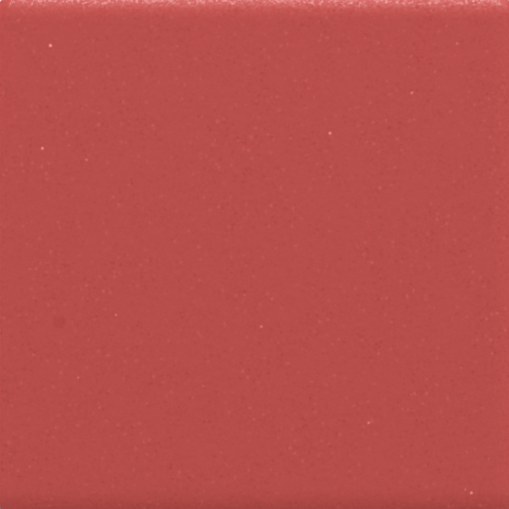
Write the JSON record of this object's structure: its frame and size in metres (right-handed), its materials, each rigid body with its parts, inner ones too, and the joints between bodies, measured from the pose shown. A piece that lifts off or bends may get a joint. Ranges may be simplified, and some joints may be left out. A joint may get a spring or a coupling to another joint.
{
  "type": "porcelain mosaic tile",
  "caption": "Square unglazed red porcelain mosaic tile with cushion edges, rounded corners and a shallow grooved back that keys into adhesive.",
  "frame": {"origin": "centre of the back plane, on which the tile lies", "axes": "+Z out of the face, +X and +Y along the sides, with the grooves of the back running along X"},
  "size_m": [0.0492, 0.0492, 0.0063],
  "materials": {
    "porcelain_body": "unglazed, fine-grained, softly matt, coloured through"
  },
  "bodies": {
    "root": {"porcelain_tile": "porcelain_body"}
  },
  "joints": []
}
